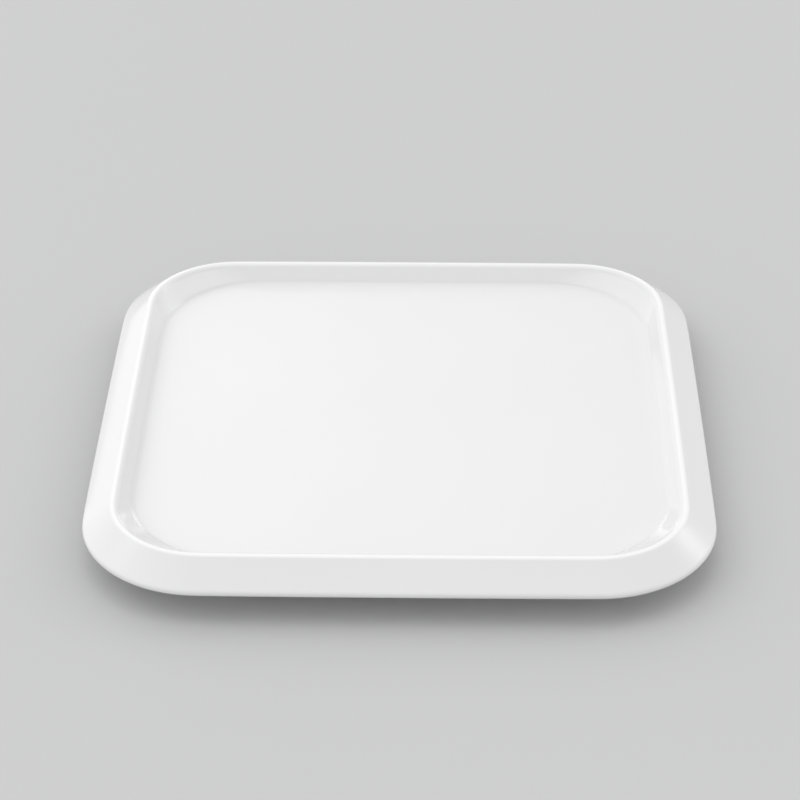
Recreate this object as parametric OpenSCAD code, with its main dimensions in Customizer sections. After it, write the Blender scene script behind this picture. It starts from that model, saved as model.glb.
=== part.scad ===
// Square serving platter of glazed porcelain, with a sunken well, a raised crest and a turned-down skirt.
// Millimetres, +Z up, origin on the table under the middle of the platter.

/* [Plan] */
// Overall width across the lip
platter_w = 300; // [240:1:360]
// Radius of the lip's corners, seen from above
corner_r = 58; // [46:1:80]

/* [Rim] */
// Height of the crest above the table
crest_h = 27.4; // [24:0.2:32]
// Distance from the lip's edge in to the crest
crest_inset = 14.9; // [11:0.1:18]
// Radius of the crest's rounded top
crest_r = 3.5; // [1.8:0.1:4.2]
// Radius of the skirt's outward swell
skirt_r = 50; // [32:1:120]
// Gap between the table and the underside of the lip
lip_clear = 13.3; // [10:0.1:16]
// Radius at the top of the hollow under the rim
channel_r = 2; // [1:0.1:2.5]

/* [Well] */
// Depth of the well below the crest
well_depth = 9.2; // [7:0.2:11]
// Slope of the well's wall, measured from level
well_wall_a = 57; // [45:1:68]
// Radius where the well's wall runs into its floor
well_r = 3; // [2:0.5:8]

/* [Wall] */
// Thickness of the finished wall, glaze included
wall_t = 4.6; // [3.8:0.1:5.4]
// Radius of the underside's edge below the well's wall
heel_r = 4; // [2:0.5:5]

/* [Foot ring] */
// Distance from the lip's edge in to the foot
foot_inset = 43; // [36:1:70]
// Radius of the foot's outer corners, seen from above
foot_corner_r = 36; // [24:1:60]
// Width of the foot at the table
foot_w = 6; // [4:0.5:10]
// Radius of the foot's lower edges
foot_r = 1.2; // [0.5:0.1:1.8]
// Lean of the foot's sides
foot_draft_a = 4; // [0:1:10]
// Radius where the foot's sides run into the underside
root_r = 3; // [2:0.5:5]

/* [Glaze] */
// Thickness of the glaze
glaze_t = 0.3; // [0.2:0.05:0.5]
// Height of the bare band wiped clean round the foot
bare_h = 2; // [1.9:0.1:4]

/* [Hidden] */
$fn = 96;
// Largest turn and largest distance between two points of a curve
arc_step = 10;
arc_chord = 3;
// Depth by which a cut runs past the face it opens
overcut = 1;

// Sections lie in the plane of x and z, with x measured outward from the line of the corner centres
half_w = platter_w / 2;
lip_r = wall_t / 2;
well_h = crest_h - well_depth;
base_h = well_h - wall_t;
clay_base_h = base_h + glaze_t;
crest_c = [corner_r - crest_inset, crest_h - crest_r];
lip_c = [corner_r - lip_r, lip_clear + lip_r];
rim_span = lip_c - crest_c;
rim_reach = norm(rim_span);
// The skirt's circle holds the circles of the crest and the lip and touches both
skirt_along = (rim_reach ^ 2 + (skirt_r - crest_r) ^ 2 - (skirt_r - lip_r) ^ 2) / (2 * rim_reach);
skirt_below = sqrt((skirt_r - crest_r) ^ 2 - skirt_along ^ 2);
skirt_c = crest_c + (skirt_along * rim_span + skirt_below * [rim_span.y, -rim_span.x]) / rim_reach;
// Directions of the outward normals at both ends of the skirt and on the well's wall
crest_n = heading(crest_c - skirt_c);
lip_n = heading(lip_c - skirt_c);
wall_n = 90 + well_wall_a;
well_c = beside_wall(crest_r + well_r, well_h + well_r);
heel_c = beside_wall(crest_r - wall_t + heel_r, base_h + heel_r);
// The hollow under the rim ends in a bend that touches the backs of the skirt and of the well's wall
back_span = crest_c - (wall_t + channel_r - crest_r) * unit(wall_n) - skirt_c;
back_rise = back_span * unit(well_wall_a);
channel_reach = skirt_r - wall_t - channel_r;
channel_up = sqrt(back_rise ^ 2 + channel_reach ^ 2 - back_span * back_span) - back_rise;
channel_c = skirt_c + back_span + channel_up * unit(well_wall_a);
channel_n = heading(channel_c - skirt_c);

// The foot's section has its own corner centres
foot_half = half_w - foot_inset;
foot_mid = foot_corner_r - foot_w / 2;
foot_edge_c = [foot_corner_r - foot_r, foot_r];
root_y = clay_base_h - root_r;
root_c = [foot_side_x(root_r, root_y), root_y];
root_inner = 2 * foot_mid - root_c.x;

// Unit vector at an angle
function unit(a) = [cos(a), sin(a)];

// Angle of a vector
function heading(v) = atan2(v.y, v.x);

// Points of an arc about c, both ends included
function arc(c, r, from, to) =
    let (
        sweep = abs(to - from),
        steps = max(1, ceil(sweep / arc_step), ceil(sweep * PI / 180 * r / arc_chord))
    )
    [for (i = [0 : steps]) c + r * unit(from + (to - from) * i / steps)];

// Same points without the first, to go on from a curve that ends there
function onward(points) = [for (i = [1 : len(points) - 1]) points[i]];

// Same points in the opposite order
function reversed(points) = [for (i = [len(points) - 1 : -1 : 0]) points[i]];

// Points mirrored to the inner side of the foot
function inner_side(points) = [for (p = points) [2 * foot_mid - p.x, p.y]];

// Centre at height y that lies a given reach from the crest's centre along the well wall's normal
function beside_wall(reach, y) =
    [crest_c.x + (reach - sin(wall_n) * (y - crest_c.y)) / cos(wall_n), y];

// Place on the foot's outer side at height y, moved outward by a distance
function foot_side_x(out, y) =
    let (n = unit(-foot_draft_a))
    foot_edge_c.x + (foot_r + out - n.y * (y - foot_edge_c.y)) / n.x;

// Outline of the shell, from the well's floor over the rim and back under it, drawn in by a depth of skin
function shell_outline(skin) = concat(
    [[0, well_h - skin]],
    arc(well_c, well_r + skin, -90, wall_n - 180),
    arc(crest_c, crest_r - skin, wall_n, crest_n),
    onward(arc(skirt_c, skirt_r - skin, crest_n, lip_n)),
    onward(arc(lip_c, lip_r - skin, lip_n, lip_n - 180)),
    onward(arc(skirt_c, skirt_r - wall_t + skin, lip_n, channel_n)),
    onward(arc(channel_c, channel_r + skin, channel_n, wall_n)),
    arc(heel_c, heel_r - skin, wall_n - 180, -90),
    [[0, base_h + skin]]
);

// Outer side of the bare foot, from its bearing face up to the underside
function foot_outline() = concat(
    arc(foot_edge_c, foot_r, -90, -foot_draft_a),
    arc(root_c, root_r, 180 - foot_draft_a, 90)
);

// Skin of glaze on the foot's outer side, above the bare band
function foot_coat() = concat(
    [[foot_side_x(0, bare_h), bare_h]],
    arc(root_c, root_r, 180 - foot_draft_a, 90),
    arc(root_c, root_r - glaze_t, 90, 180 - foot_draft_a),
    [[foot_side_x(glaze_t, bare_h), bare_h]]
);

// Carries a section round a square with rounded corners
module round_square(half, corner) {
    straight = half - corner;
    for (quarter = [0 : 3])
        rotate(90 * quarter) translate([straight, straight, 0]) {
            rotate_extrude(angle = 90) children();
            rotate([90, 0, 0]) linear_extrude(2 * straight) children();
        }
}

// Square plate that fills the middle, between the corner centres
module middle(straight, low, high) {
    translate([-straight, -straight, low]) cube([2 * straight, 2 * straight, high - low]);
}

// Solid block with a rounded square plan
module round_block(half, corner, low, high) {
    round_square(half, corner) translate([0, low]) square([corner, high - low]);
    middle(half - corner, low, high);
}

// Pressed clay shell: well, crest, skirt and lip
module porcelain_body() {
    color("ivory") {
        round_square(half_w, corner_r) polygon(shell_outline(glaze_t));
        middle(half_w - corner_r, clay_base_h, well_h - glaze_t);
    }
}

// Clay ring that stands on the table and is luted to the underside
module foot_ring() {
    side = foot_outline();
    color("linen") round_square(foot_half, foot_corner_r)
        polygon(concat(side, reversed(inner_side(side))));
}

// Coat of glaze over the whole shell, as it would be with no foot
module shell_coat() {
    straight = half_w - corner_r;
    round_square(half_w, corner_r)
        polygon(concat(shell_outline(0), reversed(shell_outline(glaze_t))));
    middle(straight, well_h - glaze_t, well_h);
    middle(straight, base_h, clay_base_h);
}

// Coat over the well, the rim, the underside and the outside of the foot
module outer_glaze() {
    root_out = root_c.x - foot_corner_r;
    color("white") {
        difference() {
            shell_coat();
            round_block(foot_half + root_out, root_c.x, base_h - overcut, clay_base_h + overcut);
        }
        round_square(foot_half, foot_corner_r) polygon(foot_coat());
    }
}

// Coat on the recessed base and the inside of the foot
module base_glaze() {
    root_in = foot_corner_r - root_inner;
    color("snow") {
        round_block(foot_half - root_in, root_inner, base_h, clay_base_h);
        round_square(foot_half, foot_corner_r) polygon(inner_side(foot_coat()));
    }
}

porcelain_body();
foot_ring();
outer_glaze();
base_glaze();
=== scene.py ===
"""Square serving platter of white glazed porcelain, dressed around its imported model.

Every piece is a section carried round a square with rounded corners. Metres, +Z up, origin on the table.
"""
import math

import bpy
import numpy as np
from mathutils import Matrix


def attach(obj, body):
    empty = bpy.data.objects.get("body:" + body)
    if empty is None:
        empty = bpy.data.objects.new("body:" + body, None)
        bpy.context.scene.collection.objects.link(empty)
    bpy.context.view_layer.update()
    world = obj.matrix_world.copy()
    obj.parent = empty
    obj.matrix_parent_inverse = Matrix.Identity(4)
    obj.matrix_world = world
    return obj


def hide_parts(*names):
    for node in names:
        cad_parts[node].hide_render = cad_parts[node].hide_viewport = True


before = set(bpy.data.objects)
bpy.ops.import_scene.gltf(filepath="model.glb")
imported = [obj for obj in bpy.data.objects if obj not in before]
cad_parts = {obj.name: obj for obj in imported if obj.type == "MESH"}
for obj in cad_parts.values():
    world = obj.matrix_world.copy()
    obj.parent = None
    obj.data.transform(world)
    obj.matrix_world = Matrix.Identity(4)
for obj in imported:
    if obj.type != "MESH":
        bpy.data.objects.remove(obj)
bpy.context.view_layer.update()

MM = 0.001

# Gap that keeps the width inside the solids' box
BOX_GAP = 0.01 * MM
# Sizes of the platter, as in the part's source but for a nearly flat skirt
HALF_W = 150.0 * MM - BOX_GAP
CORNER_R = 58.0 * MM
CREST_H = 27.4 * MM
CREST_INSET = 14.9 * MM
CREST_R = 3.5 * MM
SKIRT_R = 400.0 * MM
LIP_CLEAR = 13.3 * MM
CHANNEL_R = 2.0 * MM
WELL_DEPTH = 9.2 * MM
WELL_WALL_A = 57.0
WELL_R = 3.0 * MM
WALL_T = 4.6 * MM
HEEL_R = 4.0 * MM
FOOT_INSET = 43.0 * MM
FOOT_CORNER_R = 36.0 * MM
FOOT_W = 6.0 * MM
FOOT_R = 1.2 * MM
FOOT_DRAFT_A = 4.0
ROOT_R = 3.0 * MM
GLAZE_T = 0.3 * MM
BARE_H = 2.0 * MM

# The well's floor sweeps up gently before it bends into the wall: radius and last slope of the sweep
SWEEP_R = 60.0 * MM
SWEEP_A = 7.0
# The well's corners are rounder than the crest's: extra radius where the sweep starts and where the wall does
FLOOR_FLARE = 24.0 * MM
WELL_FLARE = 15.0 * MM
# Bow of a side, as a share of its half length
SIDE_BOW = 0.005

# Fineness of the surfaces: points round a corner and along a side, and the share of the side that these cover
CORNER_STEPS = 36
SIDE_STEPS = 28
SIDE_SHARE = 0.97
# Turn between the points of a bend, shown or hidden, and the share of that turn that the slow sweep takes
SHOWN_TURN = 3.0
HIDDEN_TURN = 9.0
SWEEP_TURN = 0.5
# Length between the points of a straight run, and the points that it has in any case
STRAIGHT_STEP = 5.0 * MM
STRAIGHT_POINTS = 4
# Distance at which two runs count as touching, and turn above which an edge is shaded sharp
TOUCHING = 0.001 * MM
SHARP_EDGE = 35.0

# Widths of the painted light along an edge: the narrow painted highlight, also the width of the glaze pooled
# in a hollow, and the wider band of painted shade beside the edge
HIGHLIGHT_AND_POOL_FLOW = 0.6 * MM
PAINTED_SHADE_FLOW = 5.0 * MM
# An edge gets the most painted highlight and painted shade where it leans outward by this slope, and less
# elsewhere by this power of a cosine
PAINTED_EDGE_LEAN = 18.0
PAINTED_EDGE_FOCUS = 7
# Bend radii at which an edge gets the full painted highlight, the band beside it the full painted shade, and
# a hollow the full pool of glaze
HIGHLIGHT_BEND = 8.5 * MM
PAINTED_SHADE_BEND = 8.5 * MM
HOLLOW_POOL = 0.75 * MM
# Tones of the glaze: the painted highlight on edges, the plain glaze, and a greyer tone both for glaze pooled
# in hollows and for the painted shade beside edges
PAINTED_HIGHLIGHT = (0.97, 0.97, 0.968)
PLAIN_GLAZE = (0.868, 0.868, 0.868)
POOL_AND_PAINTED_SHADE = (0.798, 0.802, 0.804)
# Usual range of a cloudy pattern's values, and those at which clay is fully dark and fully light
CLOUD_RANGE = (0.3, 0.7)
CLAY_TONES = (0.35, 0.65)
# Where a dark grain in the clay starts to fade and where it ends, as shares of the grains' spacing
GRAIN_EDGE = (0.06, 0.16)

# Floor: half its width and its two close tones
FLOOR_HALF = 6.0
FLOOR_TONES = ((0.595, 0.596, 0.598), (0.615, 0.616, 0.618))
# Camera: lens and sensor in millimetres, its place, and the azimuth, elevation and roll from which it looks
PHOTO_LENS = 118.353
PHOTO_SENSOR = 36.0
PHOTO_PLACE = np.array([19.5, -1107.82, 731.66]) * MM
PHOTO_TURN = (1.0628, 32.5141, -0.1661)
# Light: the room's even level, and its glows by azimuth, elevation, tightness and level
ROOM_LEVEL = 0.65
ROOM_GLOWS = {
    "wide_left_back": (240.0, 45.0, 4.0, 0.14),
    "wide_left_front": (300.0, 45.0, 4.0, 0.14),
    "high_left": (265.0, 60.0, 8.0, 0.25),
    "overhead": (180.0, 84.0, 40.0, 1.4),
    "low_front": (0.0, 14.0, 10.0, 0.34),
    "low_right": (75.0, 14.0, 10.0, 0.22),
    "low_right_back": (125.0, 14.0, 10.0, 0.25),
    "low_back_left": (208.0, 14.0, 10.0, 0.28),
    "low_left": (235.0, 14.0, 10.0, 0.5),
    "low_left_front": (310.0, 20.0, 10.0, 0.22),
    "in_well_floor": (188.0, 33.0, 120.0, 0.7),
    "in_right_wall": (257.0, 44.0, 60.0, 0.8),
    "in_left_skirt": (212.0, 4.0, 40.0, 0.3),
    "in_right_corner": (120.0, 30.0, 60.0, 2.2),
    "dark_behind": (180.0, 3.0, 40.0, -0.55),
    "beside_dark_right": (166.0, 4.0, 200.0, 2.2),
    "beside_dark_left": (194.0, 4.0, 200.0, 1.5),
}


def unit(angle):
    """Unit vector at an angle in degrees: its cosine and its sine."""
    return np.array([math.cos(math.radians(angle)), math.sin(math.radians(angle))])


# Places in the section: outward from the line of the corner centres, and up
RIM_SQUARE = HALF_W - CORNER_R
LIP_R = WALL_T / 2
WELL_H = CREST_H - WELL_DEPTH
BASE_H = WELL_H - WALL_T
CLAY_BASE_H = BASE_H + GLAZE_T
CREST_C = np.array([CORNER_R - CREST_INSET, CREST_H - CREST_R])
LIP_C = np.array([CORNER_R - LIP_R, LIP_CLEAR + LIP_R])
RIM_SPAN = LIP_C - CREST_C
RIM_REACH = np.hypot(*RIM_SPAN)
# The skirt's circle holds the circles of the crest and the lip and touches both
SKIRT_ALONG = (RIM_REACH**2 + (SKIRT_R - CREST_R) ** 2 - (SKIRT_R - LIP_R) ** 2) / (2 * RIM_REACH)
SKIRT_BELOW = math.sqrt((SKIRT_R - CREST_R) ** 2 - SKIRT_ALONG**2)
SKIRT_C = CREST_C + np.array([[SKIRT_ALONG, SKIRT_BELOW], [-SKIRT_BELOW, SKIRT_ALONG]]) @ RIM_SPAN / RIM_REACH
WALL_N = 90 + WELL_WALL_A


def heading(span):
    """Angle of a vector, in degrees from the outward direction."""
    return math.degrees(math.atan2(span[1], span[0]))


def beside_wall(reach, height):
    """Centre at a height that lies a reach from the crest's centre, along the well wall's normal."""
    normal = unit(WALL_N)
    return np.array([CREST_C[0] + (reach - normal[1] * (height - CREST_C[1])) / normal[0], height])


WELL_C = beside_wall(CREST_R + WELL_R, WELL_H + SWEEP_R + (SWEEP_R - WELL_R) * unit(SWEEP_A - 90)[1])
SWEEP_C = WELL_C - (SWEEP_R - WELL_R) * unit(SWEEP_A - 90)
HEEL_C = beside_wall(CREST_R - WALL_T + HEEL_R, BASE_H + HEEL_R)
CREST_N, LIP_N = heading(CREST_C - SKIRT_C), heading(LIP_C - SKIRT_C)

# The hollow under the rim ends in a bend that touches the backs of the skirt and of the well's wall
BACK_SPAN = CREST_C - (WALL_T + CHANNEL_R - CREST_R) * unit(WALL_N) - SKIRT_C
BACK_RISE = BACK_SPAN @ unit(WELL_WALL_A)
CHANNEL_REACH = SKIRT_R - WALL_T - CHANNEL_R
CHANNEL_UP = math.sqrt(BACK_RISE**2 + CHANNEL_REACH**2 - BACK_SPAN @ BACK_SPAN) - BACK_RISE
CHANNEL_C = SKIRT_C + BACK_SPAN + CHANNEL_UP * unit(WELL_WALL_A)
CHANNEL_N = heading(CHANNEL_C - SKIRT_C)

# The foot's section has corner centres of its own
FOOT_SQUARE = HALF_W - FOOT_INSET - FOOT_CORNER_R
FOOT_MID = FOOT_CORNER_R - FOOT_W / 2
FOOT_EDGE_C = np.array([FOOT_CORNER_R - FOOT_R, FOOT_R])


def foot_side(out, height):
    """Point on the foot's outer side at a height, moved outward by a distance along the side's normal."""
    normal = unit(-FOOT_DRAFT_A)
    reach = FOOT_R + out - normal[1] * (height - FOOT_EDGE_C[1])
    return np.array([FOOT_EDGE_C[0] + reach / normal[0], height])


ROOT_C = foot_side(ROOT_R, CLAY_BASE_H - ROOT_R)
BEAD_C = foot_side(0, BARE_H + GLAZE_T)


def bend(square, centre, radius, start, stop, turn):
    """Rounded run of a section: the centre plus the radius along directions that turn evenly.

    A row holds the half side of the square that it goes round, the distance outward from it, and the height.
    """
    count = max(2, math.ceil(abs(stop - start) / turn) + 1)
    angles = np.radians(np.linspace(start, stop, count))
    ring = np.asarray(centre) + radius * np.stack([np.cos(angles), np.sin(angles)], axis=1)
    return np.column_stack([np.full(count, square), ring])


def middle(height):
    """Row at the platter's middle, where the square has shrunk to a point."""
    return np.array([[0.0, 0.0, height]])


def inward(rows):
    """Rows mirrored from the foot's outer side to its inner side."""
    return np.column_stack([rows[:, 0], 2 * FOOT_MID - rows[:, 1], rows[:, 2]])


def chain(*runs):
    """Runs joined by straight rows, whose shares of the way follow half a cosine wave, closer at both ends.

    A run that starts where the last one ended goes on from it.
    """
    joined = [runs[0]]
    for run in runs[1:]:
        start, stop = joined[-1][-1], run[0]
        way = math.hypot(stop[:2].sum() - start[:2].sum(), stop[2] - start[2])
        if way < TOUCHING:
            joined.append(run[1:])
            continue
        shares = np.linspace(0, 1, math.ceil(way / STRAIGHT_STEP) + STRAIGHT_POINTS)[1:-1, None]
        joined += [start + (stop - start) * (1 - np.cos(np.pi * shares)) / 2, run]
    return np.concatenate(joined)


def flared(rows, first, last):
    """Rows on a smaller square with rounder corners, by an amount that goes evenly from first to last."""
    flare = np.linspace(first, last, len(rows))
    return rows + np.column_stack([-flare, flare, np.zeros(len(rows))])


def shell_bends(skin, turn):
    """Bends of the shell, from the well over crest and lip to the heel, drawn in by a depth of skin."""
    sweep = bend(RIM_SQUARE, SWEEP_C, SWEEP_R + skin, -90, SWEEP_A - 90, turn * SWEEP_TURN)
    fillet = bend(RIM_SQUARE, WELL_C, WELL_R + skin, SWEEP_A - 90, WALL_N - 180, turn)
    heel = bend(RIM_SQUARE, HEEL_C, HEEL_R - skin, WALL_N - 180, -90, turn)
    return (
        flared(sweep, FLOOR_FLARE, WELL_FLARE),
        flared(fillet, WELL_FLARE, WELL_FLARE),
        bend(RIM_SQUARE, CREST_C, CREST_R - skin, WALL_N, CREST_N, turn),
        bend(RIM_SQUARE, SKIRT_C, SKIRT_R - skin, CREST_N, LIP_N, turn),
        bend(RIM_SQUARE, LIP_C, LIP_R - skin, LIP_N, LIP_N - 180, turn),
        bend(RIM_SQUARE, SKIRT_C, SKIRT_R - WALL_T + skin, LIP_N, CHANNEL_N, turn),
        bend(RIM_SQUARE, CHANNEL_C, CHANNEL_R + skin, CHANNEL_N, WALL_N, turn),
        flared(heel, WELL_FLARE, WELL_FLARE),
    )


def root_bend(skin, turn):
    """Hollow bend from the underside down into the foot's outer side, with glaze of a depth of skin on it."""
    return bend(FOOT_SQUARE, ROOT_C, ROOT_R - skin, 90, 180 - FOOT_DRAFT_A, turn)


def glaze_bead(turn):
    """Rounded end of the glaze above the bare band: a quarter turn, as wide as the coat is deep."""
    return bend(FOOT_SQUARE, BEAD_C, GLAZE_T, -FOOT_DRAFT_A, -FOOT_DRAFT_A - 90, turn)


def clay_section():
    """Shell of clay, from the middle of the well's floor round the rim to the middle of the underside."""
    return chain(middle(WELL_H - GLAZE_T), *shell_bends(GLAZE_T, HIDDEN_TURN), middle(CLAY_BASE_H))


def outer_coat_section():
    """Outer glaze: its face from the well over the rim to its bead on the foot, then back along the clay."""
    face = chain(
        middle(WELL_H), *shell_bends(0, SHOWN_TURN), root_bend(GLAZE_T, SHOWN_TURN), glaze_bead(HIDDEN_TURN)
    )
    back = chain(
        middle(WELL_H - GLAZE_T), *shell_bends(GLAZE_T, HIDDEN_TURN), root_bend(0, HIDDEN_TURN), face[-1:]
    )
    return np.concatenate([face, back[-2::-1]])


def base_coat_section():
    """Glaze in the recess: its back along the clay to the foot, then its face from bead to middle."""
    back = chain(middle(CLAY_BASE_H), inward(root_bend(0, HIDDEN_TURN)), inward(glaze_bead(HIDDEN_TURN))[-1:])
    face = chain(middle(BASE_H), inward(root_bend(GLAZE_T, SHOWN_TURN)), inward(glaze_bead(HIDDEN_TURN)))
    return np.concatenate([back, face[-2::-1]])


def foot_section():
    """Foot: down the outer side, across the bearing face, up the inner side and back over the top."""
    outer = chain(
        root_bend(0, SHOWN_TURN),
        bend(FOOT_SQUARE, FOOT_EDGE_C, FOOT_R, -FOOT_DRAFT_A, -90, SHOWN_TURN),
    )
    ring = chain(outer, inward(outer)[::-1])
    return chain(ring, ring[:1])[:-1]


def plan():
    """Path of a unit square and the outward directions along it, both as rings of points.

    The square's reach in a direction is the size of its cosine plus the size of its sine, each softened to
    the root of its square plus the bow's square, so that the sides bow slightly and run softly into the
    corners. A point is the reach along the direction plus the reach's rate of change across it, over the
    reach of a side. Along a side the points are evenly spaced, and round a corner the direction turns evenly.
    """
    along = SIDE_SHARE * np.linspace(-1, 1, SIDE_STEPS + 1)
    side = np.arcsin(SIDE_BOW * along / np.sqrt(1 - along**2))
    corner = np.linspace(side[-1], np.pi / 2 - side[-1], CORNER_STEPS + 1)[1:-1]
    angles = (np.concatenate([side, corner]) + np.pi / 2 * np.arange(4)[:, None]).ravel()
    cosine, sine = np.cos(angles), np.sin(angles)
    soft_cosine, soft_sine = np.hypot(cosine, SIDE_BOW), np.hypot(sine, SIDE_BOW)
    out, across = np.stack([cosine, sine], axis=1), np.stack([-sine, cosine], axis=1)
    reach = soft_cosine + soft_sine
    change = cosine * sine / soft_sine - sine * cosine / soft_cosine
    side_reach = math.hypot(1, SIDE_BOW) + SIDE_BOW
    return (reach[:, None] * out + change[:, None] * across) / side_reach, out


def carry_round(rows):
    """Surface of a section carried round the square, as rings of points.

    A point is the row's half side times the unit square's path, plus the row's distance along the outward
    direction, at the row's height.
    """
    path, out = plan()
    flat = rows[:, 0, None, None] * path + rows[:, 1, None, None] * out
    heights = np.broadcast_to(rows[:, 2, None, None], flat.shape[:2] + (1,))
    return np.concatenate([flat, heights], axis=2)


def pool_and_painted_light(rows):
    """Painted light and pooled glaze on each row, from -1 for a full painted highlight to 1 for full painted
    shade or pool.

    It follows the turn of the section from one straight step to the next, for each metre along it, averaged
    over nearby rows with a bell curve of their distance. A rounded edge counts by a power of the cosine of
    its slope, measured from the lean: it gets a narrow painted highlight, with a wider band of painted shade
    beside it. A hollow pools the glaze, which is greyer there.
    """
    line = np.stack([rows[:, 0] + rows[:, 1], rows[:, 2]], axis=1)
    step = np.diff(line, axis=0)
    slope = np.arctan2(step[:, 1], step[:, 0])
    turn = np.zeros(len(rows))
    turn[1:-1] = (np.diff(slope) + np.pi) % (2 * np.pi) - np.pi
    focus = np.zeros(len(rows))
    leaned = (slope[1:] + slope[:-1]) / 2 + math.radians(PAINTED_EDGE_LEAN)
    focus[1:-1] = np.clip(np.cos(leaned), 0, 1) ** PAINTED_EDGE_FOCUS
    edge, hollow = np.clip(-turn, 0, None) * focus, np.clip(turn, 0, None)
    place = np.concatenate([[0], np.cumsum(np.hypot(step[:, 0], step[:, 1]))])
    cover = np.gradient(place)

    def spread(amount, width):
        """Amount for each metre, averaged with a bell curve of a width."""
        near = np.exp(-0.5 * ((place[:, None] - place[None, :]) / width) ** 2)
        return (near @ amount) / (near @ cover)

    # Narrow painted highlight on an edge, less a wider band of painted shade beside it; the glaze pooled in a
    # hollow comes on top
    painted_light = PAINTED_SHADE_BEND * spread(edge, PAINTED_SHADE_FLOW) - HIGHLIGHT_BEND * spread(edge, HIGHLIGHT_AND_POOL_FLOW)
    return np.clip(painted_light + HOLLOW_POOL * spread(hollow, HIGHLIGHT_AND_POOL_FLOW), -1, 1)


def make_piece(name, rows, material, node, looped=False):
    """Closed mesh of a section carried round the square, which rides on the part and stands for a node.

    Rings are joined by quads. A looped section joins its last ring to its first; any other section starts
    and ends at the middle, where a fan of triangles closes each end.
    """
    rings = carry_round(rows)
    # Painted highlight, painted shade and pooled glaze, as one value for each ring
    pool_and_light = np.repeat(pool_and_painted_light(rows)[:, None], rings.shape[1], axis=1)
    if not looped:
        ends = rings[[0, -1], 0]
        end_pool_and_light = pool_and_light[[0, -1], 0]
        rings, pool_and_light = rings[1:-1], pool_and_light[1:-1]
    count, around = rings.shape[:2]
    here = np.arange(count * around).reshape(count, around)
    beside = np.roll(here, -1, axis=1)
    after, after_beside = np.roll(here, -1, axis=0), np.roll(beside, -1, axis=0)
    last = count if looped else count - 1
    faces = np.stack([here, after, after_beside, beside], axis=-1)[:last].reshape(-1, 4).tolist()
    points, values = rings.reshape(-1, 3), pool_and_light.ravel()
    if not looped:
        first_end = np.full(around, len(points))
        faces += np.stack([first_end, here[0], beside[0]], axis=1).tolist()
        faces += np.stack([here[-1], first_end + 1, beside[-1]], axis=1).tolist()
        points, values = np.concatenate([points, ends]), np.concatenate([values, end_pool_and_light])
    mesh = bpy.data.meshes.new(name)
    mesh.from_pydata(points, [], faces)
    mesh.attributes.new("pool_and_painted_light", "FLOAT", "POINT").data.foreach_set("value", values.astype(np.float32))
    mesh.shade_smooth()
    mesh.set_sharp_from_angle(angle=math.radians(SHARP_EDGE))
    mesh.validate()
    mesh.materials.append(material)
    piece = bpy.data.objects.new(name, mesh)
    bpy.context.scene.collection.objects.link(piece)
    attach(piece, "root")
    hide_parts(node)


def node_adder(tree):
    """Function that adds nodes to a tree."""
    def add(kind, inputs=(), **settings):
        """Node of a kind, with its settings, and each input set to a value or linked to a socket."""
        node = tree.nodes.new(kind)
        for key, value in settings.items():
            setattr(node, key, value)
        for key, value in dict(inputs).items():
            if isinstance(value, bpy.types.NodeSocket):
                tree.links.new(value, node.inputs[key])
            else:
                node.inputs[key].default_value = value
        return node

    return add


def new_material(name):
    """Material with a Principled shader, a function that adds nodes to it, and one that feeds its shader."""
    material = bpy.data.materials.new(name)
    material.use_nodes = True
    tree = material.node_tree
    shader = tree.nodes["Principled BSDF"]

    def feed(**inputs):
        """Sets or links the shader's own inputs, named with underscores for spaces."""
        for key, value in inputs.items():
            socket = shader.inputs[key.replace("_", " ")]
            if isinstance(value, bpy.types.NodeSocket):
                tree.links.new(value, socket)
            else:
                socket.default_value = value

    return material, node_adder(tree), feed


def speckle(add, place, scale, detail=2.0):
    """Cloudy pattern on the piece's own coordinates, from 0 to 1. The scale is in cycles a metre."""
    return add("ShaderNodeTexNoise", {"Vector": place, "Scale": scale, "Detail": detail}).outputs["Fac"]


def ranged(add, value, low, high, span=CLOUD_RANGE):
    """Value mapped in a straight line so that a span's ends become low and high, and held at both."""
    inputs = {"Value": value, "From Min": span[0], "From Max": span[1], "To Min": low, "To Max": high}
    return add("ShaderNodeMapRange", inputs).outputs["Result"]


def white_glaze():
    """Glossy white glaze: a painted highlight along edges and painted shade beside them, greyer where it
    pools, with a faint drift and ripple.
    """
    material, add, feed = new_material("white_glaze")
    place = add("ShaderNodeTexCoord").outputs["Object"]
    # One value a point: below the middle a painted highlight, above it painted shade or pooled glaze
    pool_and_light = add("ShaderNodeAttribute", attribute_name="pool_and_painted_light").outputs["Fac"]
    tones = add("ShaderNodeValToRGB", {"Fac": ranged(add, pool_and_light, low=0.0, high=1.0, span=(-1.0, 1.0))})
    ramp = tones.color_ramp
    ramp.elements[0].color, ramp.elements[1].color = (*PAINTED_HIGHLIGHT, 1), (*POOL_AND_PAINTED_SHADE, 1)
    ramp.elements.new(0.5).color = (*PLAIN_GLAZE, 1)
    drift = ranged(add, speckle(add, place, scale=11.0), low=0.992, high=1.004)
    shaded = add("ShaderNodeVectorMath", {0: tones.outputs["Color"], "Scale": drift}, operation="SCALE")
    gloss = ranged(add, speckle(add, place, scale=90.0), low=0.045, high=0.075)
    waves = speckle(add, place, scale=45.0, detail=1.0)
    ripple = add("ShaderNodeBump", {"Height": waves, "Distance": 0.02 * MM})
    dimples = speckle(add, place, scale=650.0, detail=1.0)
    peel = add("ShaderNodeBump", {
        "Height": dimples, "Distance": 0.0012 * MM, "Normal": ripple.outputs["Normal"],
    })
    feed(Base_Color=shaded.outputs["Vector"], Roughness=gloss, Normal=peel.outputs["Normal"], IOR=1.52)
    return material


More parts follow.
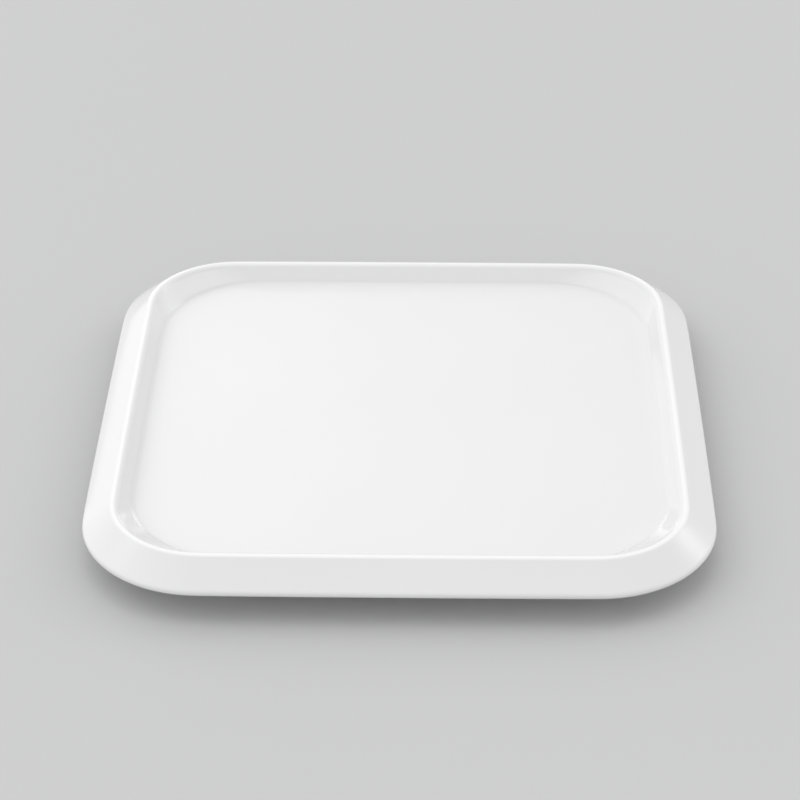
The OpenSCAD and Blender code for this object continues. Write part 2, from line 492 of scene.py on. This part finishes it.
def fired_clay(name, light, dark, speck):
    """Matt fired clay: two close tones in fine clouds, sparse darker grains, and a gritty surface."""
    material, add, feed = new_material(name)
    place = add("ShaderNodeTexCoord").outputs["Object"]
    clouds = add("ShaderNodeValToRGB", {"Fac": speckle(add, place, scale=260.0, detail=4.0)})
    dark_stop, light_stop = clouds.color_ramp.elements
    dark_stop.position, light_stop.position = CLAY_TONES
    dark_stop.color, light_stop.color = (*dark, 1), (*light, 1)
    grains = add("ShaderNodeTexVoronoi", {"Vector": place, "Scale": 420.0}).outputs["Distance"]
    share = ranged(add, grains, low=0.55, high=0.0, span=GRAIN_EDGE)
    colour = add("ShaderNodeMixRGB", {"Fac": share, "Color1": clouds.outputs["Color"], "Color2": (*speck, 1)})
    rough = ranged(add, speckle(add, place, scale=900.0, detail=3.0), low=0.62, high=0.82)
    sand = speckle(add, place, scale=1600.0, detail=3.0)
    grit = add("ShaderNodeBump", {"Height": sand, "Distance": 0.03 * MM})
    feed(Base_Color=colour.outputs["Color"], Roughness=rough, Normal=grit.outputs["Normal"])
    return material


glaze = white_glaze()
bare_clay = fired_clay(
    "bare_foot_clay", light=(0.8, 0.77, 0.71), dark=(0.73, 0.69, 0.63), speck=(0.52, 0.46, 0.38)
)
body_clay = fired_clay(
    "pressed_body_clay", light=(0.85, 0.83, 0.79), dark=(0.8, 0.78, 0.73), speck=(0.66, 0.62, 0.56)
)

make_piece("clay_shell", clay_section(), body_clay, "porcelain_body")
make_piece("bare_foot_ring", foot_section(), bare_clay, "foot_ring", looped=True)
make_piece("outer_glaze_coat", outer_coat_section(), glaze, "outer_glaze")
make_piece("recess_glaze_coat", base_coat_section(), glaze, "base_glaze")


def lay_floor():
    """Level floor: a square centred under the platter."""
    corners = FLOOR_HALF * np.array([(-1, -1, 0), (1, -1, 0), (1, 1, 0), (-1, 1, 0)])
    mesh = bpy.data.meshes.new("pale_floor")
    mesh.from_pydata(corners, [], [(0, 1, 2, 3)])
    material, add, feed = new_material("pale_floor_paint")
    place = add("ShaderNodeTexCoord").outputs["Object"]
    tone = add("ShaderNodeValToRGB", {"Fac": speckle(add, place, scale=2.0)})
    ramp = tone.color_ramp
    ramp.elements[0].color, ramp.elements[1].color = ((*shade, 1) for shade in FLOOR_TONES)
    feed(Base_Color=tone.outputs["Color"], Roughness=0.6)
    mesh.materials.append(material)
    floor = bpy.data.objects.new("pale_floor", mesh)
    bpy.context.scene.collection.objects.link(floor)


def turned_axes(azimuth, elevation, roll=0.0):
    """Right, up and back axes of something that looks inward from an azimuth and an elevation, as columns.

    Azimuth 0 stands in front of the platter and 90 to its right. The right axis is level before the roll,
    which turns right towards up.
    """
    azimuth_cos, azimuth_sin = unit(azimuth)
    level_share, back_rise = unit(elevation)
    roll_cos, roll_sin = unit(roll)
    back = np.array([azimuth_sin * level_share, -azimuth_cos * level_share, back_rise])
    right = np.array([azimuth_cos, azimuth_sin, 0.0])
    up = np.cross(back, right)
    return np.stack([roll_cos * right + roll_sin * up, roll_cos * up - roll_sin * right, back], axis=1)


def light_room(level, glows):
    """Pale room: an even level all round and soft glows, where a level of 1 is that of lit white paper.

    A glow has an azimuth, an elevation, a tightness and a level, which is below zero for a dark patch. Its
    strength is its level times the exponential of the tightness times a number that falls from 0: the
    cosine of the angle from its middle, less 1.
    """
    world = bpy.data.worlds.new("pale_room")
    bpy.context.scene.world = world
    world.use_nodes = True
    add = node_adder(world.node_tree)
    way = add("ShaderNodeTexCoord").outputs["Generated"]
    total = level
    for name, (azimuth, elevation, tightness, strength) in glows.items():
        centre = turned_axes(azimuth, elevation)[:, 2]
        cosine = add("ShaderNodeVectorMath", {0: way, 1: centre}, operation="DOT_PRODUCT").outputs["Value"]
        fall = {0: cosine, 1: tightness, 2: -tightness}
        power = add("ShaderNodeMath", fall, operation="MULTIPLY_ADD").outputs[0]
        glow = add("ShaderNodeMath", {0: power}, operation="EXPONENT", label=name).outputs[0]
        total = add("ShaderNodeMath", {0: glow, 1: strength, 2: total}, operation="MULTIPLY_ADD").outputs[0]
    sky = world.node_tree.nodes["Background"]
    sky.inputs["Color"].default_value = (1, 1, 1, 1)
    world.node_tree.links.new(total, sky.inputs["Strength"])


def photo_camera():
    """Camera at the photograph's place and angle, with no lens shift."""
    lens = bpy.data.cameras.new("photo_camera")
    lens.lens, lens.sensor_width = PHOTO_LENS, PHOTO_SENSOR
    camera = bpy.data.objects.new("photo_camera", lens)
    matrix = np.eye(4)
    matrix[:3, :3], matrix[:3, 3] = turned_axes(*PHOTO_TURN), PHOTO_PLACE
    camera.matrix_world = Matrix(matrix.tolist())
    bpy.context.scene.collection.objects.link(camera)
    bpy.context.scene.camera = camera


photo_camera()
lay_floor()
light_room(ROOM_LEVEL, ROOM_GLOWS)
bpy.context.scene.view_settings.view_transform = "Standard"
